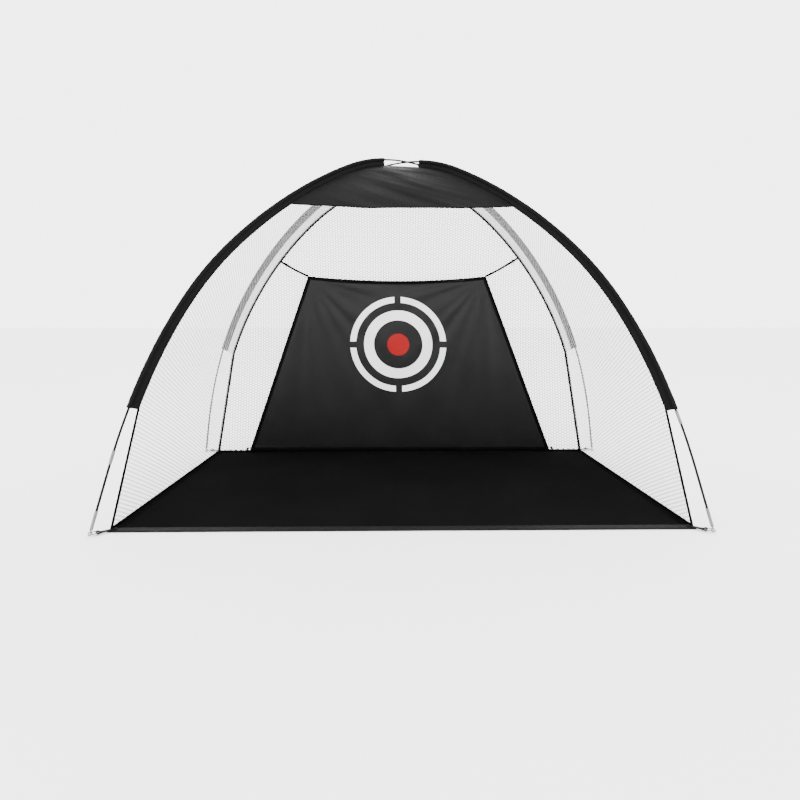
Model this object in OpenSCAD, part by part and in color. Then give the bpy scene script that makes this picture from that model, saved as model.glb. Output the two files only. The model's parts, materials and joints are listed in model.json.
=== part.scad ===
// Pop-up golf chipping net.
// Two shock-corded poles cross over the top and hold a net shelter, open at the front,
// over a ground mat, with a target sheet hung inside the back.

/* [Overall size] */

// distance between the left and right pole feet
foot_span = 1980; // [1600:10:2400]
// distance between the front and rear pole feet
foot_depth = 990; // [700:10:1400]
// height of the upper pole over the ground
net_height = 1400; // [1100:10:1700]

/* [Poles] */

// outer diameter of the hollow poles
pole_d = 8; // [6:0.5:12]
// bore of the hollow poles
pole_bore = 5; // [3:0.5:8]
// length of the short end section
short_end = 215; // [150:5:400]
// length of the long end section
long_end = 335; // [200:5:500]
// outer diameter of the joint ferrules
ferrule_d = 10.4; // [9:0.5:14]
// bore of the joint ferrules
ferrule_bore = 9; // [8.5:0.1:12]
// length of the joint ferrules
ferrule_l = 42; // [30:1:80]
// diameter of the elastic cord inside the poles
shock_d = 3; // [2:0.5:4]

/* [Feet] */

// length of the metal pole tips
tip_l = 56; // [40:1:90]
// outer diameter of the metal pole tips
tip_d = 10; // [9:0.5:14]
// diameter of the foot pins
pin_d = 4; // [3:0.5:5]
// length of pin inside the pole tip
pin_reach = 42; // [30:1:60]
// middle radius of the foot rings
ring_r = 11; // [9:0.5:16]

/* [Sleeves] */

// full width of the pole sleeves
sleeve_w = 40; // [30:1:60]
// start of the sleeves, measured along the pole from the crossing
sleeve_start = 92; // [60:1:150]
// end of the front sleeves, measured along the pole from the crossing
front_sleeve_end = 1540; // [1200:10:1700]
// end of the rear sleeves, measured along the pole from the crossing
rear_sleeve_end = 1440; // [1200:10:1700]
// distance from the rear poles to the rear seams
seam_drop = 76; // [50:1:120]

/* [Mat] */

// half width of the mat at the front
mat_front_x = 952; // [700:1:1200]
// half width of the mat at the rear
mat_rear_x = 938; // [700:1:1200]
// mat edge in front of the middle
mat_front_y = 470; // [300:1:700]
// mat edge behind the middle
mat_rear_y = 506; // [300:1:700]
// width of the mat hems
hem_w = 30; // [15:1:50]

/* [Target] */

// half width of the target along its bottom edge
target_bottom_x = 765; // [500:5:850]
// half width of the target along its top edge
target_top_x = 449; // [250:5:600]
// height of the target sheet
target_h = 892; // [600:1:1000]
// forward lean of the target from upright
target_lean = 12.5; // [5:0.5:30]
// sag in the middle of the target's top edge
target_sag = 24; // [0:1:60]
// sideways shift of the target's top edge
target_shift = -18; // [-60:1:60]
// thickness of the tie cords
tie_d = 3; // [2:0.5:5]
// distance from a tie's knot to the seam
tie_knot = 22; // [12:1:60]

/* [Part selection] */

// which sub-part to draw

/* [Hidden] */

$fn = 48;

foot_x = foot_span / 2;
foot_y = foot_depth / 2;
foot_z = 16;
reach = sqrt(foot_x * foot_x + foot_y * foot_y);
diag = atan2(foot_y, foot_x);
top_a = net_height - pole_d / 2;
top_b = top_a - pole_d - 1;
gap = 0.4;

// degrees that each equal arc of a half pole turns, from the crossing to the foot
front_turns = [28, 10, 10, 14, 10, 8];
rear_turns = [22, 16, 12, 12, 14, 12];

// slope of a half pole after its first i arcs
function slope(t, i) = i == 0 ? 0 : slope(t, i - 1) + t[i - 1];
function radians(a) = a * PI / 180;

// run and fall of the first i arcs, for arcs of length 1
function run_of(t, i) =
    i == 0 ? 0 : run_of(t, i - 1) + (sin(slope(t, i)) - sin(slope(t, i - 1))) / radians(t[i - 1]);
function fall_of(t, i) =
    i == 0 ? 0 : fall_of(t, i - 1) + (cos(slope(t, i - 1)) - cos(slope(t, i))) / radians(t[i - 1]);

// arc length and straight leg that bring a half pole from its top to its foot
function arc_of(t, top) =
    let (n = len(t), e = slope(t, n), a = run_of(t, n), b = fall_of(t, n))
    (reach * sin(e) - (top - foot_z) * cos(e)) / (a * sin(e) - b * cos(e));
function leg_of(t, top) =
    let (n = len(t))
    (reach - arc_of(t, top) * run_of(t, n)) / cos(slope(t, n));
function half_of(t, top) = len(t) * arc_of(t, top) + leg_of(t, top);

// slope of a half pole at distance s from its top
function slope_at(t, top, s) =
    let (d = arc_of(t, top), i = min(floor(s / d), len(t)))
    i == len(t) ? slope(t, i) : slope(t, i) + t[i] * (s / d - i);

// point [r, z] at distance s from the top, n outside the pole's middle line
function point_at(t, top, s, n) =
    let (
        d = arc_of(t, top),
        i = min(floor(s / d), len(t)),
        u = s - i * d,
        e = slope(t, i),
        a = slope_at(t, top, s),
        q = i == len(t) ? 1 : d / radians(t[i]),
        dr = i == len(t) ? u * cos(e) : q * (sin(a) - sin(e)),
        dz = i == len(t) ? u * sin(e) : q * (cos(e) - cos(a))
    )
    [d * run_of(t, i) + dr + n * sin(a), top - d * fall_of(t, i) - dz + n * cos(a)];

// the same point in space, on the half pole towards side sx, sy
function corner(sx, sy, p) = [sx * p[0] * cos(diag), sy * p[0] * sin(diag), p[1]];
function front_pt(sx, s, n) = corner(sx, -1, point_at(front_turns, sx < 0 ? top_a : top_b, s, n));
function rear_pt(sx, s, n) = corner(sx, 1, point_at(rear_turns, sx < 0 ? top_b : top_a, s, n));

// sweeps a flat outline, drawn with +X away from the arch, along a half pole from s1 to s2,
// leaving a hairline cut where one arc meets the next
module follow(t, top, s1, s2, cut = 0) {
    d = arc_of(t, top);
    n = len(t);
    for (i = [0 : n - 1]) {
        a = s1 > i * d ? s1 : i * d + cut / 2;
        b = s2 < (i + 1) * d ? s2 : (i + 1) * d - cut / 2;
        if (b > a + 0.1) {
            q = d / radians(t[i]);
            c = point_at(t, top, i * d, -q);
            g1 = 90 - slope_at(t, top, a);
            g2 = 90 - slope_at(t, top, b);
            translate([c[0], 0, c[1]])
                rotate([90, 0, 0])
                    rotate([0, 0, g2])
                        rotate_extrude(angle = g1 - g2, $fn = 240)
                            translate([q, 0])
                                children();
        }
    }
    leg_start = s1 > n * d ? s1 : n * d + cut / 2;
    if (s2 > leg_start + 0.1) {
        p = point_at(t, top, leg_start, 0);
        translate([p[0], 0, p[1]])
            rotate([0, 90 + slope(t, n), 0])
                rotate([0, 0, 180])
                    linear_extrude(s2 - leg_start)
                        children();
    }
}

// puts a joiner over each cut between s1 and s2, with +Z along the pole
module bends(t, top, s1, s2) {
    d = arc_of(t, top);
    for (i = [0 : len(t)])
        if (i * d >= s1 && i * d < s2) {
            p = point_at(t, top, i * d, 0);
            translate([p[0], 0, p[1]])
                rotate([0, 90 + slope(t, i), 0])
                    children();
        }
}

// turns a half pole's plane towards one corner
module toward(sx, sy) {
    rotate([0, 0, atan2(sy * foot_y, sx * foot_x)])
        children();
}

// part of a whole pole, from u1 to u2, measured from its front foot
module along(sx, top, u1, u2, cut = 0) {
    front_l = half_of(front_turns, top);
    if (u1 < front_l)
        toward(sx, -1)
            follow(front_turns, top, max(0, front_l - u2), front_l - u1, cut)
                children();
    if (u2 > front_l)
        toward(-sx, 1)
            follow(rear_turns, top, max(0, u1 - front_l), u2 - front_l, cut)
                children();
}

module bends_along(sx, top, u1, u2) {
    front_l = half_of(front_turns, top);
    if (u1 < front_l)
        toward(sx, -1)
            bends(front_turns, top, max(0, front_l - u2), front_l - u1)
                children();
    if (u2 > front_l)
        toward(-sx, 1)
            bends(rear_turns, top, max(1, u1 - front_l), u2 - front_l)
                children();
}

module tube_2d(outer_d, inner_d) {
    difference() {
        circle(d = outer_d, $fn = 32);
        circle(d = inner_d, $fn = 32);
    }
}

function whole(top) = half_of(front_turns, top) + half_of(rear_turns, top);
// distance from the front foot to joint i, with end section e at the front
function joint_at(top, e, i) =
    i == 0 ? 12 : i == 7 ? whole(top) - 12 : e + (i - 1) * (whole(top) - short_end - long_end) / 5;

hairline = 0.02;
liner_l = 16;

module pole_section(sx, top, e, i) {
    u1 = joint_at(top, e, i - 1) + gap / 2;
    u2 = joint_at(top, e, i) - gap / 2;
    color([0.09, 0.09, 0.1])
        union() {
            along(sx, top, u1, u2, hairline)
                tube_2d(pole_d, pole_bore);
            bends_along(sx, top, u1, u2)
                translate([0, 0, -liner_l / 2])
                    linear_extrude(liner_l)
                        tube_2d(pole_bore + 1.4, pole_bore - 0.6);
        }
}

module ferrules(sx, top, e) {
    color([0.75, 0.76, 0.78])
        for (i = [1 : 6])
            ferrule(sx, top, joint_at(top, e, i));
}

// a straight ferrule on the pole's middle line, over the joint at u
module ferrule(sx, top, u) {
    front_l = half_of(front_turns, top);
    t = u < front_l ? front_turns : rear_turns;
    s = abs(u - front_l);
    p = point_at(t, top, s, 0);
    toward(u < front_l ? sx : -sx, u < front_l ? -1 : 1)
        translate([p[0], 0, p[1]])
            rotate([0, 90 + slope_at(t, top, s), 0])
                translate([0, 0, -ferrule_l / 2])
                    linear_extrude(ferrule_l)
                        tube_2d(ferrule_d, ferrule_bore);
}

module shock_cord(sx, top) {
    color([0.15, 0.15, 0.16])
        union() {
            along(sx, top, 70, whole(top) - 70, hairline)
                circle(d = shock_d, $fn = 24);
            bends_along(sx, top, 70, whole(top) - 70)
                sphere(d = shock_d + 0.3, $fn = 24);
        }
}

module pole_a_section_1() {
    pole_section(-1, top_a, short_end, 1);
}

module pole_a_section_2() {
    pole_section(-1, top_a, short_end, 2);
}

module pole_a_section_3() {
    pole_section(-1, top_a, short_end, 3);
}

module pole_a_section_4() {
    pole_section(-1, top_a, short_end, 4);
}

module pole_a_section_5() {
    pole_section(-1, top_a, short_end, 5);
}

module pole_a_section_6() {
    pole_section(-1, top_a, short_end, 6);
}

module pole_a_section_7() {
    pole_section(-1, top_a, short_end, 7);
}

module pole_b_section_1() {
    pole_section(1, top_b, long_end, 1);
}

module pole_b_section_2() {
    pole_section(1, top_b, long_end, 2);
}

module pole_b_section_3() {
    pole_section(1, top_b, long_end, 3);
}

module pole_b_section_4() {
    pole_section(1, top_b, long_end, 4);
}

module pole_b_section_5() {
    pole_section(1, top_b, long_end, 5);
}

module pole_b_section_6() {
    pole_section(1, top_b, long_end, 6);
}

module pole_b_section_7() {
    pole_section(1, top_b, long_end, 7);
}

module pole_a_ferrules() {
    ferrules(-1, top_a, short_end);
}

module pole_b_ferrules() {
    ferrules(1, top_b, long_end);
}

module pole_a_shock_cord() {
    shock_cord(-1, top_a);
}

module pole_b_shock_cord() {
    shock_cord(1, top_b);
}

// Feet. Each one is built in its pole's plane, with the pole's end at the origin.

function turns_to(sy) = sy < 0 ? front_turns : rear_turns;
function top_to(sx, sy) = sx * sy > 0 ? top_a : top_b;
function end_slope(sy) = slope(turns_to(sy), 6);

module at_foot(sx, sy) {
    translate([sx * foot_x, sy * foot_y, foot_z])
        children();
}

// aims +Z up along the pole from its foot
module up_pole(sx, sy) {
    rotate([0, 0, atan2(sy * foot_y, sx * foot_x)])
        rotate([0, end_slope(sy) - 90, 0])
            children();
}

module pole_tip(sx, sy) {
    color([0.78, 0.79, 0.81])
        at_foot(sx, sy)
            up_pole(sx, sy)
                rotate_extrude()
                    polygon([
                        [pin_d / 2 + 0.05, 0],
                        [tip_d / 2 - 1.2, 0],
                        [tip_d / 2, 1.6],
                        [tip_d / 2, tip_l],
                        [pole_d / 2 + 0.15, tip_l],
                        [pole_d / 2 + 0.15, 12],
                        [pin_d / 2 + 0.05, 12]
                    ]);
}

eye_r = 5;
eye_bar = 3;
eye_z = 7.2;
strap_w = 12;
strap_t = 2.4;
strap_z = 5.7;

// the eye under a pole's foot, on the pole's own line
function eye_shift(sy) = (foot_z - eye_z) / tan(end_slope(sy));
function eye_x(sx, sy) = sx * (foot_x + eye_shift(sy) * cos(diag));
function eye_y(sx, sy) = sy * (foot_y + eye_shift(sy) * sin(diag));
function mat_x(sy) = sy < 0 ? mat_front_x : mat_rear_x;
function mat_y(sy) = sy < 0 ? -mat_front_y : mat_rear_y;
// direction from the eye to the mat's corner
function strap_dir(sx, sy) =
    atan2(mat_y(sy) - eye_y(sx, sy), sx * mat_x(sy) - eye_x(sx, sy));
function strap_run(sx, sy) = norm([mat_y(sy) - eye_y(sx, sy), sx * mat_x(sy) - eye_x(sx, sy)]);

// +X towards the mat's corner, at the eye's middle
module at_eye(sx, sy) {
    translate([eye_x(sx, sy), eye_y(sx, sy), eye_z])
        rotate([0, 0, strap_dir(sx, sy)])
            children();
}

module foot_pin(sx, sy) {
    color([0.72, 0.73, 0.75])
        union() {
            at_eye(sx, sy)
                rotate([90, 0, 0])
                    rotate_extrude()
                        translate([eye_r, 0])
                            circle(d = eye_bar);
            at_foot(sx, sy)
                up_pole(sx, sy)
                    translate([0, 0, -(foot_z - eye_z) / sin(end_slope(sy)) + eye_r])
                        cylinder(d = pin_d, h = pin_reach + (foot_z - eye_z) / sin(end_slope(sy)) - eye_r);
        }
}

module foot_ring(sx, sy) {
    color([0.72, 0.73, 0.75])
        at_eye(sx, sy)
            translate([ring_r, 0, 0])
                rotate_extrude()
                    translate([ring_r, 0])
                        circle(d = 3);
}

// webbing loop round the ring's far side, sewn on top of the mat's corner
module foot_strap(sx, sy) {
    color([0.08, 0.08, 0.09])
        at_eye(sx, sy)
            translate([2 * ring_r, strap_w / 2, 0])
                rotate([90, 0, 0])
                    linear_extrude(strap_w)
                        difference() {
                            union() {
                                loop_2d(3.9);
                                translate([2, strap_z - eye_z - strap_t / 2])
                                    square([strap_run(sx, sy) - 2 * ring_r + 26, strap_t]);
                            }
                            loop_2d(2.3);
                        }
}

module loop_2d(r) {
    translate([-2.2, 0])
        circle(r = r, $fn = 32);
    translate([-2.2, -r])
        square([2.6, 2 * r]);
    translate([0.4, 0])
        circle(r = r, $fn = 32);
}

module pole_tip_fl() {
    pole_tip(-1, -1);
}

module pole_tip_fr() {
    pole_tip(1, -1);
}

module pole_tip_rl() {
    pole_tip(-1, 1);
}

module pole_tip_rr() {
    pole_tip(1, 1);
}

module foot_pin_fl() {
    foot_pin(-1, -1);
}

module foot_pin_fr() {
    foot_pin(1, -1);
}

module foot_pin_rl() {
    foot_pin(-1, 1);
}

module foot_pin_rr() {
    foot_pin(1, 1);
}

module foot_ring_fl() {
    foot_ring(-1, -1);
}

module foot_ring_fr() {
    foot_ring(1, -1);
}

module foot_ring_rl() {
    foot_ring(-1, 1);
}

module foot_ring_rr() {
    foot_ring(1, 1);
}

module foot_strap_fl() {
    foot_strap(-1, -1);
}

module foot_strap_fr() {
    foot_strap(1, -1);
}

module foot_strap_rl() {
    foot_strap(-1, 1);
}

module foot_strap_rr() {
    foot_strap(1, 1);
}

// Sleeves, webs and seams.

sleeve_bore = ferrule_d + 3.6;
sleeve_skin = 1.2;
sleeve_in = sleeve_w - sleeve_bore / 2 - sleeve_skin;
flap_t = 2.4;
seam_d = 6;
web_t = 1.2;
web_gap = 1.2;
edge_d = 5;
net_t = 2;

sleeve_step = 60;

// outline across a sleeve: a boxed channel round the pole with a flap towards the arch
function sleeve_outline(h, f) = [
    [-sleeve_in, f], [-h, f], [-h, h], [h, h], [h, -h], [-h, -h], [-h, -f], [-sleeve_in, -f]
];
function channel_outline(h) = [[-h, h], [h, h], [h, -h], [-h, -h]];

// point of an outline, at distance s along a half pole
function swept_pt(t, top, s, p) = let (q = point_at(t, top, s, p[0])) [q[0], p[1], q[1]];

function split_quads(quads) = [
    for (q = quads)
        for (k = [[q[0], q[1], q[2]], [q[0], q[2], q[3]]])
            k
];

module sleeve(sx, sy, s2) {
    half = sleeve_bore / 2;
    ring = concat(sleeve_outline(half + sleeve_skin, flap_t / 2), channel_outline(half));
    m = len(ring);
    k = ceil((s2 - sleeve_start) / sleeve_step);
    pts = [
        for (j = [0 : k])
            for (p = ring)
                swept_pt(turns_to(sy), top_to(sx, sy), mix(sleeve_start, s2, j / k), p)
    ];
    outer = [
        for (j = [0 : k - 1])
            for (i = [0 : 7])
                [m * j + i, m * j + m + i, m * j + m + (i + 1) % 8, m * j + (i + 1) % 8]
    ];
    inner = [
        for (j = [0 : k - 1])
            for (i = [0 : 3])
                [8 + m * j + i, 8 + m * j + (i + 1) % 4, 8 + m * j + m + (i + 1) % 4, 8 + m * j + m + i]
    ];
    mouth = concat(
        split_quads([[0, 1, 6, 7], [2, 3, 9, 8], [3, 4, 10, 9], [4, 5, 11, 10]]),
        [[1, 2, 8], [1, 8, 11], [1, 11, 6], [6, 11, 5]]
    );
    far = [for (f = mouth) [f[2] + m * k, f[1] + m * k, f[0] + m * k]];
    color([0.12, 0.12, 0.13])
        toward(sx, sy)
            polyhedron(
                points = pts,
                faces = concat(mouth, far, split_quads(outer), split_quads(inner))
            );
}

// a flat web in the pole's plane, between the sleeve and the seam
module rear_web(sx) {
    function web_side(n) = [for (i = [0 : rows]) rear_pt(sx, mix(top_s, rear_sleeve_end, i / rows), -n)];
    color([0.9, 0.9, 0.9])
        strip(web_side(sleeve_in + web_gap), web_side(seam_drop - seam_d / 2 - web_gap), web_t);
}

module sleeve_fl() {
    sleeve(-1, -1, front_sleeve_end);
}

module sleeve_fr() {
    sleeve(1, -1, front_sleeve_end);
}

module sleeve_rl() {
    sleeve(-1, 1, rear_sleeve_end);
}

module sleeve_rr() {
    sleeve(1, 1, rear_sleeve_end);
}

module rear_web_left() {
    rear_web(-1);
}

module rear_web_right() {
    rear_web(1);
}

// A closed strip through two lists of points, t thick across the line between them.
function cross_dir(a, b, c) = let (v = cross(c - a, b - a)) v / norm(v);

module strip(left, right, t) {
    n = len(left) - 1;
    dirs = [
        for (i = [0 : n])
            cross_dir(left[max(0, i - 1)], right[i], left[min(n, i + 1)]) * t / 2
    ];
    pts = [
        for (i = [0 : n])
            for (p = [left[i] - dirs[i], left[i] + dirs[i], right[i] + dirs[i], right[i] - dirs[i]])
                p
    ];
    quads = [
        for (i = [0 : n - 1])
            for (q = [[0, 1, 5, 4], [1, 2, 6, 5], [2, 3, 7, 6], [0, 4, 7, 3]])
                [for (k = q) 4 * i + k]
    ];
    polyhedron(
        points = pts,
        faces = concat([[3, 2, 1, 0], [4 * n, 4 * n + 1, 4 * n + 2, 4 * n + 3]], split_quads(quads))
    );
}

function mix(a, b, f) = a + (b - a) * f;

top_s = sleeve_start + 26;
net_foot_z = 6;
rows = 22;

// the mat corners, seen from the net edges
function front_corner(sx) = [sx * (mat_front_x - 8), -mat_front_y + 10, net_foot_z];
function rear_corner(sx) = [sx * (mat_rear_x - 16), mat_rear_y - 22, net_foot_z];

// edge points that hang under the sleeves and then run straight to the mat
function front_edge_pt(sx, f, n) =
    f < 0.8
        ? front_pt(sx, mix(top_s, front_sleeve_end, f / 0.8), -n)
        : mix(front_pt(sx, front_sleeve_end, -n), front_corner(sx), (f - 0.8) / 0.2);
function rear_edge_pt(sx, f, n) =
    f < 0.75
        ? rear_pt(sx, mix(top_s, rear_sleeve_end, f / 0.75), -n)
        : mix(rear_pt(sx, rear_sleeve_end, -n), rear_corner(sx), (f - 0.75) / 0.25);

function side_front(sx) =
    [for (i = [0 : rows]) front_edge_pt(sx, i / rows, sleeve_in + gap) + [0, 4.5, 0]];
function side_rear(sx) =
    [for (i = [0 : rows]) rear_edge_pt(sx, i / rows, seam_drop) + [sx * 2.2, -4.4, 0]];
function back_edge(sx) =
    [for (i = [0 : rows]) rear_edge_pt(sx, i / rows, seam_drop) + [-sx * 2.2, 4.4, 0]];

module side_net_left() {
    color([0.93, 0.93, 0.93])
        strip(side_front(-1), side_rear(-1), net_t);
}

module side_net_right() {
    color([0.93, 0.93, 0.93])
        strip(side_front(1), side_rear(1), net_t);
}

module back_net() {
    color([0.93, 0.93, 0.93])
        strip(back_edge(-1), back_edge(1), net_t);
}

// round bar between two points
module rod(a, b, d) {
    v = b - a;
    translate(a)
        rotate([0, atan2(norm([v[0], v[1]]), v[2]), atan2(v[1], v[0])])
            cylinder(d = d, h = norm(v), $fn = 24);
}

module rear_seam(sx) {
    color([0.1, 0.1, 0.11])
        union() {
            toward(sx, 1) {
                follow(rear_turns, top_to(sx, 1), top_s, rear_sleeve_end, hairline)
                    translate([-seam_drop, 0])
                        circle(d = seam_d, $fn = 24);
                bends(rear_turns, top_to(sx, 1), top_s, rear_sleeve_end)
                    translate([seam_drop, 0, 0])
                        sphere(d = seam_d + 0.4, $fn = 24);
            }
            translate(rear_pt(sx, rear_sleeve_end, -seam_drop))
                sphere(d = seam_d + 0.4, $fn = 24);
            rod(rear_pt(sx, rear_sleeve_end, -seam_drop), rear_corner(sx) + [0, 0, 2], seam_d);
        }
}

module rear_seam_left() {
    rear_seam(-1);
}

module rear_seam_right() {
    rear_seam(1);
}

module front_edge(sx) {
    color([0.1, 0.1, 0.11])
        rod(
            front_pt(sx, front_sleeve_end + 4, -(sleeve_in - edge_d / 2)),
            front_corner(sx) + [0, 0, 2],
            edge_d
        );
}

module front_edge_left() {
    front_edge(-1);
}

module front_edge_right() {
    front_edge(1);
}

// Brow over the mouth and the patch under the crossing.

brow_end = 600;
brow_rows = 8;

function brow_edge(sx) = [
    for (i = [0 : brow_rows])
        front_pt(sx, mix(top_s, brow_end, i / brow_rows), -sleeve_in - gap) + [-sx * 4, -1, 0]
];

module brow_panel() {
    color([0.1, 0.1, 0.11])
        strip(brow_edge(-1), brow_edge(1), 1.6);
}

module apex_patch() {
    f = front_pt(1, top_s, -sleeve_in - 4);
    r = rear_pt(-1, top_s, -seam_drop - 6);
    run = norm([0.9 * (r[1] - f[1]), r[2] - f[2]]);
    color([0.1, 0.1, 0.11])
        translate([0, 0.9 * f[1], f[2]])
            rotate([atan2(r[2] - f[2], 0.9 * (r[1] - f[1])), 0, 0])
                linear_extrude(1.6)
                    polygon([
                        [-0.94 * f[0], 0],
                        [0.94 * f[0], 0],
                        [-0.94 * r[0], run],
                        [0.94 * r[0], run]
                    ]);
}

// Ground mat.

mat_t = 2.5;
hem_t = 4;

// half width of the mat at a distance behind the middle
function mat_half(y) = mix(mat_front_x, mat_rear_x, (y + mat_front_y) / (mat_front_y + mat_rear_y));

module mat_area(y1, y2, inset) {
    polygon([
        [-mat_half(y1) + inset, y1],
        [mat_half(y1) - inset, y1],
        [mat_half(y2) - inset, y2],
        [-mat_half(y2) + inset, y2]
    ]);
}

module ground_mat() {
    color([0.13, 0.13, 0.14])
        linear_extrude(mat_t)
            mat_area(-mat_front_y + hem_w + gap, mat_rear_y - hem_w - gap, hem_w + gap);
}

module mat_hem_front() {
    color([0.2, 0.2, 0.21])
        linear_extrude(hem_t)
            mat_area(-mat_front_y, -mat_front_y + hem_w, 0);
}

module mat_hem_rear() {
    color([0.2, 0.2, 0.21])
        linear_extrude(hem_t)
            mat_area(mat_rear_y - hem_w, mat_rear_y, 0);
}

module side_hem(sx) {
    y1 = -mat_front_y + hem_w + gap;
    y2 = mat_rear_y - hem_w - gap;
    color([0.2, 0.2, 0.21])
        linear_extrude(hem_t)
            polygon([
                [sx * mat_half(y1), y1],
                [sx * mat_half(y2), y2],
                [sx * (mat_half(y2) - hem_w), y2],
                [sx * (mat_half(y1) - hem_w), y1]
            ]);
}

module mat_hem_left() {
    side_hem(-1);
}

module mat_hem_right() {
    side_hem(1);
}

// Target sheet, drawn flat with its bottom edge on the hinge line.

hinge_y = 478;
hinge_z = 9;
sheet_t = 1.2;
binding_w = 18;
binding_t = 3;
sag_steps = 12;

// right and left edges of the target at height v, brought in by d
function side_x(sx, v, d) =
    let (foot = sx * target_bottom_x, top = sx * target_top_x + target_shift)
    let (a = atan2(target_h, abs(foot - top)))
    mix(foot, top, v / target_h) - sx * d / sin(a);

function outline(d) = concat(
    [[side_x(-1, d, d), d], [side_x(1, d, d), d]],
    [
        for (i = [0 : sag_steps])
            let (f = i / sag_steps, v = target_h - d)
            [mix(side_x(1, v, d), side_x(-1, v, d), f), v - target_sag * 4 * f * (1 - f)]
    ]
);

module in_target() {
    translate([0, hinge_y, hinge_z])
        rotate([90 + target_lean, 0, 0])
            children();
}

// a point of the target in space, at x, height v and depth w in front of the sheet
function target_pt(x, v, w) = [
    x,
    hinge_y - v * sin(target_lean) - w * cos(target_lean),
    hinge_z + v * cos(target_lean) - w * sin(target_lean)
];

module target_sheet() {
    color([0.16, 0.16, 0.17])
        in_target()
            translate([0, 0, -sheet_t / 2])
                linear_extrude(sheet_t)
                    polygon(outline(binding_w + gap));
}

module target_binding() {
    color([0.08, 0.08, 0.09])
        in_target()
            translate([0, 0, -binding_t / 2])
                linear_extrude(binding_t)
                    difference() {
                        polygon(outline(0));
                        polygon(outline(binding_w));
                    }
}

// A tie from the target's top corner to a rear seam, with its knot and loose tail.
module target_tie(sx, s) {
    corner_pt = target_pt(side_x(sx, target_h, 0) + sx * 3, target_h + 3, 0);
    seam_pt = rear_pt(sx, s, -seam_drop);
    way = (seam_pt - corner_pt) / norm(seam_pt - corner_pt);
    knot = seam_pt - way * tie_knot;
    color([0.06, 0.06, 0.07])
        union() {
            rod(corner_pt, knot, tie_d);
            rod(knot, seam_pt - way * (seam_d / 2 + 2.2), tie_d);
            translate(knot)
                sphere(d = 10, $fn = 24);
            rod(knot, knot + [sx * -4, -6, -26], tie_d);
        }
}

module target_tie_left() {
    target_tie(-1, 860);
}

module target_tie_right() {
    target_tie(1, 845);
}

module target_bottom_ties() {
    color([0.06, 0.06, 0.07])
        for (sx = [-1, 1])
            translate([sx * (target_bottom_x + 12), hinge_y + 1, hinge_z + 4])
                union() {
                    rotate([0, 90, 0])
                        rotate_extrude()
                            translate([6, 0])
                                circle(d = tie_d, $fn = 24);
                    translate([sx * 2, 0, 6])
                        sphere(d = 9, $fn = 24);
                }
}

pole_a_section_1();
pole_a_section_2();
pole_a_section_3();
pole_a_section_4();
pole_a_section_5();
pole_a_section_6();
pole_a_section_7();
pole_b_section_1();
pole_b_section_2();
pole_b_section_3();
pole_b_section_4();
pole_b_section_5();
pole_b_section_6();
pole_b_section_7();
pole_a_ferrules();
pole_b_ferrules();
pole_a_shock_cord();
pole_b_shock_cord();
pole_tip_fl();
pole_tip_fr();
pole_tip_rl();
pole_tip_rr();
foot_pin_fl();
foot_pin_fr();
foot_pin_rl();
foot_pin_rr();
foot_ring_fl();
foot_ring_fr();
foot_ring_rl();
foot_ring_rr();
foot_strap_fl();
foot_strap_fr();
foot_strap_rl();
foot_strap_rr();
sleeve_fl();
sleeve_fr();
sleeve_rl();
sleeve_rr();
rear_web_left();
rear_web_right();
rear_seam_left();
rear_seam_right();
front_edge_left();
front_edge_right();
side_net_left();
side_net_right();
back_net();
brow_panel();
apex_patch();
ground_mat();
mat_hem_front();
mat_hem_rear();
mat_hem_left();
mat_hem_right();
target_sheet();
target_binding();
target_tie_left();
target_tie_right();
target_bottom_ties();
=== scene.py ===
import json
import math

import bmesh
import bpy
from bpy.props import FloatProperty, IntProperty, PointerProperty
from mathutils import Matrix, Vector, noise


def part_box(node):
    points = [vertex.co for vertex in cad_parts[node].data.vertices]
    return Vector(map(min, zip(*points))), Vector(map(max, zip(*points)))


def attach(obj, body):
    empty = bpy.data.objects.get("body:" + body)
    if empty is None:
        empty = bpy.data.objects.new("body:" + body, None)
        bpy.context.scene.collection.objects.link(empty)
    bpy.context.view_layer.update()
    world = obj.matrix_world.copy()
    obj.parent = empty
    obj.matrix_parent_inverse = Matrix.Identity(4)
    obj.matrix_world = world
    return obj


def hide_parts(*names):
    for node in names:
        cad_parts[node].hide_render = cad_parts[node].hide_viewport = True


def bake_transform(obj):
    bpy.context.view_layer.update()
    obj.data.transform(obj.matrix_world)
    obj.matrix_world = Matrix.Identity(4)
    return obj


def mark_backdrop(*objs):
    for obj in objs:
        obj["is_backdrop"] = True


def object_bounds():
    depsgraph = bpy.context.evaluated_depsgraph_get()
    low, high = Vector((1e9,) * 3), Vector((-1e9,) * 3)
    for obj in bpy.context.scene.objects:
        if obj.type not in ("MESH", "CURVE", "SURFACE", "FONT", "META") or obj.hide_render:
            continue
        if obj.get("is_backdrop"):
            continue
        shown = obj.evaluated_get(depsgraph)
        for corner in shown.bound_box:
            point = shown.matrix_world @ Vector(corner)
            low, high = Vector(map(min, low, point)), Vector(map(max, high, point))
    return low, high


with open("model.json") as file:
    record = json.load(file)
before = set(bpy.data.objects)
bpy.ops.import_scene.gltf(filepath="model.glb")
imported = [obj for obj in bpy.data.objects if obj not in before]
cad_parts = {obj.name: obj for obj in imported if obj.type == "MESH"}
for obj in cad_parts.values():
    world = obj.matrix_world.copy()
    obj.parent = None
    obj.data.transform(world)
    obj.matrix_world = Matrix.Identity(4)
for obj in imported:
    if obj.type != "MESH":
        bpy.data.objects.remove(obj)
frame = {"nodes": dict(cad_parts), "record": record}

bl_info = {
    "name": "Golf chipping net",
    "version": (1, 0, 0),
    "blender": (4, 5, 0),
    "location": "View3D > Sidebar > Chipping Net",
    "description": "Fabric, netting, hardware finish and stage for a pop-up chipping net",
    "category": "Object",
}

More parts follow.
